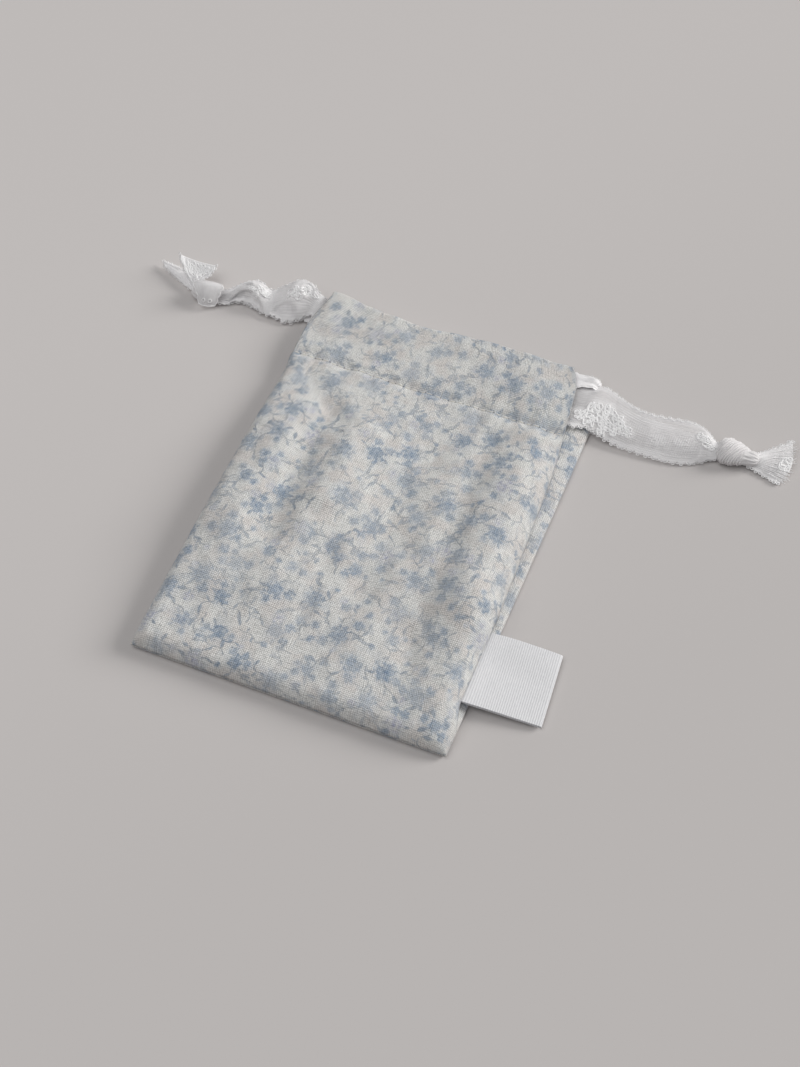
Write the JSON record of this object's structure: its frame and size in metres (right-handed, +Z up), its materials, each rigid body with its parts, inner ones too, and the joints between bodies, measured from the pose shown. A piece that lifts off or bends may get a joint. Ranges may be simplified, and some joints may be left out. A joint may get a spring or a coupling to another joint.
{
  "type": "lavender sachet",
  "caption": "Flat cotton drawstring pouch with a floral print, knotted lace ties through its hemmed mouth, a folded side label and an inner bag of dried lavender.",
  "frame": {"origin": "middle of the pouch's flat underside, on the surface it lies on", "axes": "+Z up from the table through the pouch's thickness, +Y along the pouch towards its drawstring mouth, +X across it towards the side label"},
  "size_m": [0.1776, 0.118, 0.0086],
  "materials": {
    "printed_cotton": "cream cotton gauze with a small dusty-blue floral print",
    "sewing_thread": "cream sewing thread",
    "white_lace": "soft white net lace",
    "label_tape": "white ribbed cotton tape",
    "nonwoven": "thin white nonwoven sheet",
    "lavender": "dried lavender buds"
  },
  "bodies": {
    "pouch": {"front_panel": "printed_cotton", "back_panel": "printed_cotton", "left_seam_thread": "sewing_thread", "bottom_seam_thread": "sewing_thread", "right_seam_thread": "sewing_thread", "front_casing_stitches": "sewing_thread", "back_casing_stitches": "sewing_thread", "left_tie_turn": "white_lace", "right_tie_turn": "white_lace", "side_label_root": "label_tape", "inner_bag_upper": "nonwoven", "inner_bag_lower": "nonwoven", "lavender_fill": "lavender"},
    "left_tie": {"left_tie_front_run": "white_lace", "left_tie_front_strand": "white_lace", "left_tie_front_tail": "white_lace", "left_tie_back_run": "white_lace", "left_tie_back_strand": "white_lace", "left_tie_back_tail": "white_lace", "left_tie_knot": "white_lace"},
    "right_tie": {"right_tie_front_run": "white_lace", "right_tie_front_strand": "white_lace", "right_tie_front_tail": "white_lace", "right_tie_back_run": "white_lace", "right_tie_back_strand": "white_lace", "right_tie_back_tail": "white_lace", "right_tie_knot": "white_lace"},
    "label": {"side_label_flap": "label_tape"}
  },
  "joints": [
    {"name": "left_tie_pull", "type": "slide", "parent": "pouch", "child": "left_tie", "axis": [-1, 0, 0], "range_m": [0, 0.055]},
    {"name": "right_tie_pull", "type": "slide", "parent": "pouch", "child": "right_tie", "axis": [1, 0, 0], "range_m": [0, 0.055]},
    {"name": "label_flip", "type": "hinge", "parent": "pouch", "child": "label", "pos_m": [0.0368, -0.034, 0.00425], "axis": [0, -1, 0], "range_deg": [0, 90]}
  ]
}
